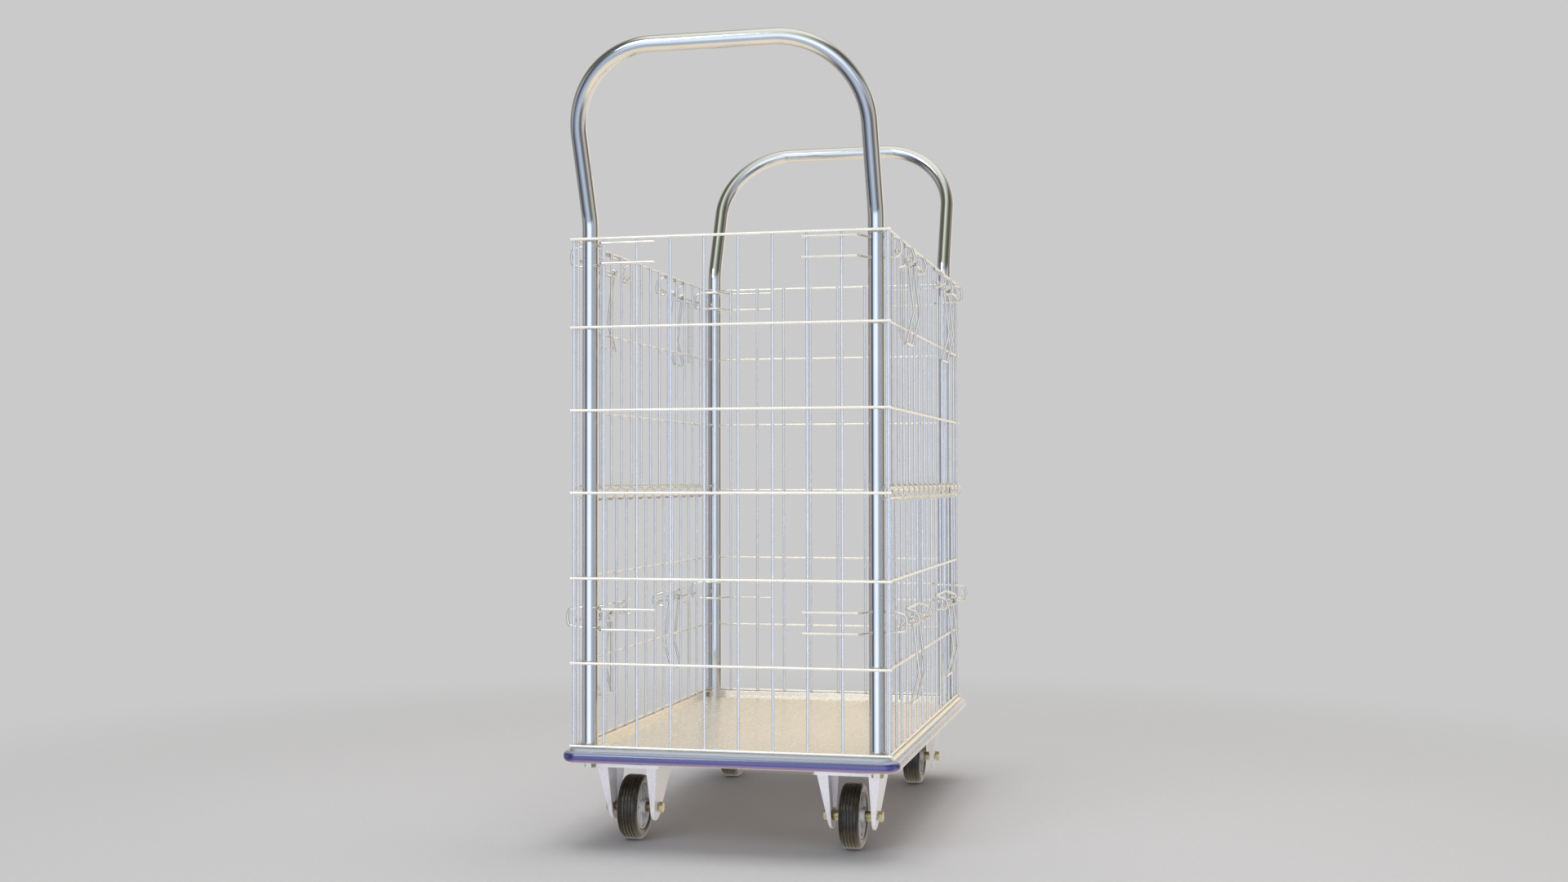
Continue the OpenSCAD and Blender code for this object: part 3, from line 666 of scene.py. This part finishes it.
def slide_bolt():
    """A drawn-back bolt with ball ends and two collars. Y is measured in from the end panel."""
    r = LATCH_D / 2
    ball = [math.radians(15 * k - 90) for k in range(13)]
    profile = [(BALL_R * math.cos(a), BALL_R * math.sin(a)) for a in ball[:11]]
    profile += [(r + 0.25, 3.6), (r, 4.4)]
    for y in COLLARS:
        profile += [(r, y - 0.05), (3.1, y), (3.5, y + 0.4),
                    (3.5, y + 1.6), (3.1, y + 2.0), (r, y + 2.05)]
    profile += [(r, BOLT_L - 4.4), (r + 0.25, BOLT_L - 3.6)]
    profile += [(BALL_R * math.cos(a), BOLT_L + BALL_R * math.sin(a)) for a in ball[2:]]
    profile = [(max(radius, 0.02), y + TRAVEL) for radius, y in profile]
    return lathe(profile, (0, 1, 0), 28, closed=False)


def pull_lever():
    """The pull loop: two eyes round the bolt, two cranked legs and a rounded foot."""
    near, far = (y + TRAVEL for y in LEVER_LEGS)
    leg = [(0.5, -EYE_R), (9, -79), (-1.5, -120), (-3, -125)]
    path = [(x, near, z) for x, z in leg] + [(x, far, z) for x, z in reversed(leg)]
    shapes = [sweep(rounded(path, 2.4), LEVER_D / 2, (1, 0, 0), 18)]
    for y in (near, far):
        turns = [2 * math.pi * i / 32 for i in range(33)]
        ring = [Vector((EYE_R * math.sin(a), y, -EYE_R * math.cos(a))) for a in turns]
        shapes.append(sweep(ring, 2.1, (0, 1, 0), 16, closed_ends=False))
    return join(shapes)


def at_latch(shape, latch, sx, sy):
    """A bolt or lever, drawn about the bolt's axis, taken to its corner of the cage."""
    verts, faces = shape
    x, z = HALF_X + latch["out"], latch["z"]
    verts = [Vector((v.x + x, HALF_Y - v.y, v.z + z)) for v in verts]
    return mirrored((verts, flipped(faces)), sx, sy)


keepers("keepers_near", -1)
keepers("keepers_far", 1)

bolt_shape, lever_shape = slide_bolt(), pull_lever()
for level, latch in (("lower", LOWER_LATCH), ("upper", UPPER_LATCH)):
    for side, sx in SIDES:
        half = "%s_%s" % (level, side)
        guides = join([mirrored(guide(latch), sx, sy) for sy in (1, -1)])
        piece("guides_" + half, guides, LATCH, "side_" + half, ("guides_" + half,))
        for end, sy in (("near", -1), ("far", 1)):
            for kind, shape in (("bolt", bolt_shape), ("lever", lever_shape)):
                name = "%s_%s_%s" % (kind, half, end)
                piece(name, at_latch(shape, latch, sx, sy), LATCH, name, (name,))


# ------------------------------------------------------------------ deck
def tread_pattern():
    """Rows of small raised dashes, turned alternately, pressed up from the tread."""
    along_row, between_rows, post_gap, lean = 14, 9, 21, math.radians(35)
    foot = [(-5.2, 0), (-2.2, 1.6), (2.2, 1.6), (5.2, 0), (2.2, -1.6), (-2.2, -1.6)]
    crown = [(-2.6, 0), (-1.2, 0.5), (1.2, 0.5), (2.6, 0), (1.2, -0.5), (-1.2, -0.5)]
    faces = [(i, (i + 1) % 6, 6 + (i + 1) % 6, 6 + i) for i in range(6)]
    faces.append((6, 7, 8, 9, 10, 11))
    shapes = []
    row = 0
    y = 18 - HALF_Y
    while y < HALF_Y - 17:
        k = 0
        x = 22 - HALF_X + along_row / 2 * (row % 2)
        while x < HALF_X - 21:
            by_post = max(abs(abs(x) - POST_X), abs(abs(y) - POST_Y)) < post_gap
            if not by_post:
                a = lean if (row + k) % 2 else -lean
                c, s = math.cos(a), math.sin(a)
                verts = [Vector((x + p * c - q * s, y + p * s + q * c, z))
                         for ring, z in ((foot, TREAD_Z - 0.02), (crown, TREAD_Z + 0.28))
                         for p, q in ring]
                shapes.append((verts, faces))
            x += along_row
            k += 1
        y += between_rows
        row += 1
    return join(shapes)


def swept_outline(profile, closed=True):
    """Sweeps (outward from the deck's edge, height) pairs round the deck's rounded outline."""
    corner_steps = 16
    verts, faces = [], []
    for sx, sy, start in ((1, 1, 0), (-1, 1, 90), (-1, -1, 180), (1, -1, 270)):
        cx, cy = sx * (DECK_W / 2 - DECK_R), sy * (DECK_L / 2 - DECK_R)
        for k in range(corner_steps + 1):
            a = math.radians(start + 90 * k / corner_steps)
            for out, z in profile:
                r = DECK_R + out
                verts.append(Vector((cx + r * math.cos(a), cy + r * math.sin(a), z)))
    m = len(profile)
    n = len(verts) // m
    for i in range(n):
        j = (i + 1) % n
        for k in range(m if closed else m - 1):
            q = (k + 1) % m
            faces.append((i * m + k, j * m + k, j * m + q, i * m + q))
    return verts, faces


def arc(cx, cz, r, start, stop, steps):
    """Points on a circle's arc, in degrees."""
    turns = [math.radians(start + (stop - start) * k / steps) for k in range(steps + 1)]
    return [(cx + r * math.cos(a), cz + r * math.sin(a)) for a in turns]


def deck_tray():
    """The pressed tray: skirt, rolled rim edge, rim flat, and a soft step down to the tread."""
    profile = [(0, SKIRT_Z)] + arc(-4.5, RIM_Z - 4.5, 4.5, 0, 90, 6)
    profile += arc(-11.4, RIM_Z - 2, 2, 90, 180, 4) + arc(-15.4, TREAD_Z + 2, 2, 0, -90, 4)
    upper = swept_outline(profile, closed=False)
    m = len(profile)
    upper[1].append(tuple(range(m - 1, len(upper[0]), m)))  # the tread
    sheet = 2
    profile = [(-17.4, TREAD_Z - sheet), (-sheet, TREAD_Z - sheet), (-sheet, SKIRT_Z), (0, SKIRT_Z)]
    under = swept_outline(profile, closed=False)
    m = len(profile)
    under[1].append(tuple(reversed(range(0, len(under[0]), m))))  # the tread's underside
    return join([upper, under])


def bumper():
    """The D-section strip swept round the deck, with eased edges above and below."""
    r, h = BUMPER_R, BUMPER_H
    profile = [(0.02, 0.6), (0.5, 0), (1.5, 0)]
    profile += arc(1.5, r, r, -90, 0, 9) + arc(1.5, h - r, r, 0, 90, 9)
    profile += [(0.5, h), (0.02, h - 0.6)]
    return swept_outline([(out, z + BUMPER_Z) for out, z in profile])


piece("deck_tray", deck_tray(), DECK, "trolley", ("deck_tray",), smooth=40)
piece("tread_pattern", tread_pattern(), DECK, "trolley", smooth=60)
piece("bumper_strip", bumper(), BUMPER, "trolley", ("bumper_strip",))


# ------------------------------------------------------------------ wheels
def tyre():
    """A tyre about the X axis, with four fine grooves round its tread."""
    r, w = WHEEL_R, WHEEL_W / 2
    wall = [(r - 15, w - 3.5), (r - 14, w - 2), (r - 12, w - 0.7), (r - 8, w),
            (r - 4, w - 0.4), (r - 2, w - 1.6), (r - 0.7, w - 3.4), (r - 0.15, w - 5.6)]
    groove = [(r - 0.02, -1.3), (r - 0.4, -0.85), (r - 1.8, -0.6), (r - 2, 0),
              (r - 1.8, 0.6), (r - 0.4, 0.85), (r - 0.02, 1.3)]
    profile = [(a, -b) for a, b in wall]
    for middle in (-7.5, -2.5, 2.5, 7.5):
        profile += [(a, middle + b) for a, b in groove]
    profile += reversed(wall)
    return lathe(profile, (1, 0, 0), 96)


tyre_shape = tyre()
for key, (x, y) in WHEELS.items():
    piece("tyre_" + key, moved(tyre_shape, x, y, WHEEL_R), TYRE, "wheel_" + key,
          ("tyre_" + key,), smooth=50)

# ------------------------------------------------------------------ CAD nodes shown as they are
repaint(["hub_" + key for key in WHEELS], HUB)
repaint(["fork_" + key for key in WHEELS] + ["swivel_plates"], CASTOR)
repaint(["castor_bolts", "handle_bolts", "swivel_pins"], YELLOW)
repaint(["axles_near", "axle_far_left", "axle_far_right"], GOLD)
repaint(["under_channels"], CHANNEL)
repaint(["handle_plugs"], PLUG)
repaint(["swivel_balls"], BALL)


# ------------------------------------------------------------------ camera, floor and light
def camera():
    yaw, pitch, roll = math.radians(13.156), math.radians(1.273), math.radians(-0.097)
    ahead = Vector((-math.sin(yaw) * math.cos(pitch), math.cos(yaw) * math.cos(pitch),
                    math.sin(pitch)))
    level = Vector((math.cos(yaw), math.sin(yaw), 0))
    above = level.cross(ahead)
    right = level * math.cos(roll) + above * math.sin(roll)
    up = -level * math.sin(roll) + above * math.cos(roll)
    data = bpy.data.cameras.new("camera")
    data.sensor_width = 36
    data.lens = 40.31
    data.clip_end = 100
    o = bpy.data.objects.new("camera", data)
    matrix = Matrix((right, up, -ahead)).transposed().to_4x4()
    matrix.translation = Vector((0.6590, -2.8262, 0.5407))
    o.matrix_world = matrix
    bpy.context.collection.objects.link(o)
    bpy.context.scene.camera = o


def floor():
    """A wide disc just below the tyres, which fades out into the backdrop."""
    around, z = 96, -0.4
    radii = [500, 1200, 2000, 3000, 4000, 5200]
    verts, faces = [Vector((0, 0, z))], []
    for r in radii:
        for k in range(around):
            a = 2 * math.pi * k / around
            verts.append(Vector((r * math.cos(a), r * math.sin(a), z)))
    for k in range(around):
        faces.append((0, 1 + k, 1 + (k + 1) % around))
    for i in range(len(radii) - 1):
        for k in range(around):
            a, b = 1 + i * around + k, 1 + i * around + (k + 1) % around
            faces.append((a, a + around, b + around, b))
    o, me = data_block("floor", (verts, faces))

    k = Mat("floor", rough=0.8, spec=0.2)
    grain = k.spread(k.noise(120, 6, 0.7), 0, 1, 0.3, 0.7)
    k.color(k.mix(grain, (0.465, 0.464, 0.505), (0.495, 0.493, 0.537)))
    k.bump(k.noise(400, 4), 0.15, 0.0005)
    distance = k.n.new("ShaderNodeVectorMath")
    distance.operation = "LENGTH"
    k.l.new(k.coord, distance.inputs[0])
    fade = k.spread(distance.outputs["Value"], 0, 1, 0.9, 2.2, smooth=True)
    clear = k.n.new("ShaderNodeBsdfTransparent")
    k.mix_shaders(fade, k.b.outputs[0], clear.outputs[0], "Material Output")
    me.materials.append(k.m)
    o.visible_glossy = False


def area(name, place, target, size, power, color, glossy=False):
    """A soft rectangular light, hidden from the camera and, unless glossy, from mirrors."""
    data = bpy.data.lights.new(name, "AREA")
    data.shape = "RECTANGLE"
    data.size, data.size_y = size
    data.energy = power
    data.color = color
    o = bpy.data.objects.new(name, data)
    o.location = place
    o.rotation_euler = (Vector(target) - Vector(place)).to_track_quat("-Z", "Y").to_euler()
    bpy.context.collection.objects.link(o)
    o.visible_camera = False
    o.visible_glossy = glossy


# Brightness round the room, by degrees from straight in front, + to the right.
WALLS = [
    (-180, (0.98, 0.90, 0.76)), (-150, (0.45, 0.42, 0.38)), (-125, (0.36, 0.33, 0.33)),
    (-100, (0.24, 0.21, 0.20)), (-82, (0.46, 0.45, 0.45)), (-66, (0.28, 0.28, 0.30)),
    (-53, (0.06, 0.065, 0.09)), (-44, (0.12, 0.15, 0.20)), (-36, (0.30, 0.36, 0.44)),
    (-24, (0.80, 0.95, 1.12)), (-4, (1.08, 1.20, 1.35)), (8, (1.15, 1.25, 1.40)),
    (20, (0.95, 1.05, 1.20)), (31, (0.70, 0.80, 0.95)), (42, (0.34, 0.40, 0.50)),
    (53, (0.50, 0.55, 0.64)), (65, (0.33, 0.35, 0.38)), (80, (0.55, 0.55, 0.54)),
    (93, (0.57, 0.54, 0.48)), (108, (0.28, 0.25, 0.20)), (125, (0.10, 0.085, 0.065)),
    (143, (0.75, 0.70, 0.60)), (160, (0.98, 0.92, 0.80)), (180, (0.98, 0.90, 0.76)),
]
ABOVE = [
    (-180, (0.60, 0.57, 0.48)), (-140, (0.30, 0.29, 0.25)), (-110, (0.15, 0.15, 0.12)),
    (-62, (0.10, 0.105, 0.085)), (-42, (0.26, 0.27, 0.23)), (-24, (0.80, 0.84, 0.74)),
    (-8, (0.78, 0.82, 0.72)), (12, (0.55, 0.57, 0.48)), (32, (0.30, 0.31, 0.26)),
    (55, (0.12, 0.125, 0.10)), (85, (0.10, 0.10, 0.085)), (115, (0.35, 0.34, 0.29)),
    (150, (0.72, 0.68, 0.58)), (180, (0.60, 0.57, 0.48)),
]
BELOW = [
    (-180, (0.92, 0.82, 0.66)), (-130, (0.40, 0.36, 0.32)), (-100, (0.14, 0.14, 0.14)),
    (-72, (0.045, 0.055, 0.075)), (-44, (0.22, 0.27, 0.36)), (-18, (0.50, 0.57, 0.70)),
    (4, (0.55, 0.64, 0.76)), (24, (0.36, 0.41, 0.48)), (44, (0.12, 0.125, 0.14)),
    (66, (0.28, 0.27, 0.27)), (94, (0.82, 0.78, 0.70)), (125, (0.92, 0.86, 0.76)),
    (155, (0.95, 0.86, 0.70)), (180, (0.92, 0.82, 0.66)),
]
CEILING, GROUND = (0.95, 0.97, 0.90), (0.95, 0.84, 0.65)
BACKDROP = (0.591, 0.591, 0.591)


def world():
    """A plain pale backdrop to the camera, and a soft room of light all round for the rest."""
    w = bpy.data.worlds.new("studio")
    bpy.context.scene.world = w
    w.use_nodes = True
    g = Graph(w.node_tree)
    way = g.axes(g.n.new("ShaderNodeTexCoord").outputs["Generated"])
    angle = g.maths("ARCTAN2", way["X"], g.maths("MULTIPLY", way["Y"], -1.0))
    turn = g.maths("ADD", g.maths("DIVIDE", angle, 2 * math.pi), 0.5)

    def round_room(stops):
        ramp = g.n.new("ShaderNodeValToRGB")
        g.l.new(turn, ramp.inputs[0])
        e = ramp.color_ramp.elements
        e[0].position, e[0].color = 0.0, (*stops[0][1], 1)
        e[1].position, e[1].color = 1.0, (*stops[-1][1], 1)
        for degrees, color in stops[1:-1]:
            e.new((degrees + 180) / 360).color = (*color, 1)
        return ramp.outputs[0]

    def step(value, low, high):
        return g.spread(value, 0, 1, low, high, smooth=True)

    up = way["Z"]
    down = g.maths("MULTIPLY", up, -1.0)
    room = g.mix(step(up, 0.22, 0.48), round_room(WALLS), round_room(ABOVE))
    room = g.mix(step(up, 0.80, 0.95), room, CEILING)
    room = g.mix(step(down, 0.14, 0.34), room, round_room(BELOW))
    room = g.mix(step(down, 0.68, 0.86), room, GROUND)
    lit = g.n["Background"]
    g.l.new(room, lit.inputs["Color"])
    lit.inputs["Strength"].default_value = 1.0
    plain = g.n.new("ShaderNodeBackground")
    g.feed(plain.inputs["Color"], BACKDROP)
    seen = g.n.new("ShaderNodeLightPath").outputs["Is Camera Ray"]
    g.mix_shaders(seen, lit.outputs[0], plain.outputs[0], "World Output")


camera()
floor()
world()
bpy.context.scene.view_settings.view_transform = "Standard"
area("key", (-2.2, -4.0, 3.6), (0, 0, 0.4), (2.0, 2.0), 45, (0.90, 0.95, 1.0), glossy=True)
area("top", (0.1, 0.1, 3.8), (0, 0, 0), (3.0, 3.0), 110, (1.0, 0.965, 0.88))
area("fill", (2.4, -2.2, 0.30), (0, -0.2, 0.08), (1.5, 0.4), 26, (1.0, 0.96, 0.92))
area("low", (0.62, -2.9, 0.25), (0, -0.2, 0.08), (0.6, 0.3), 28, (1.0, 0.98, 1.0))
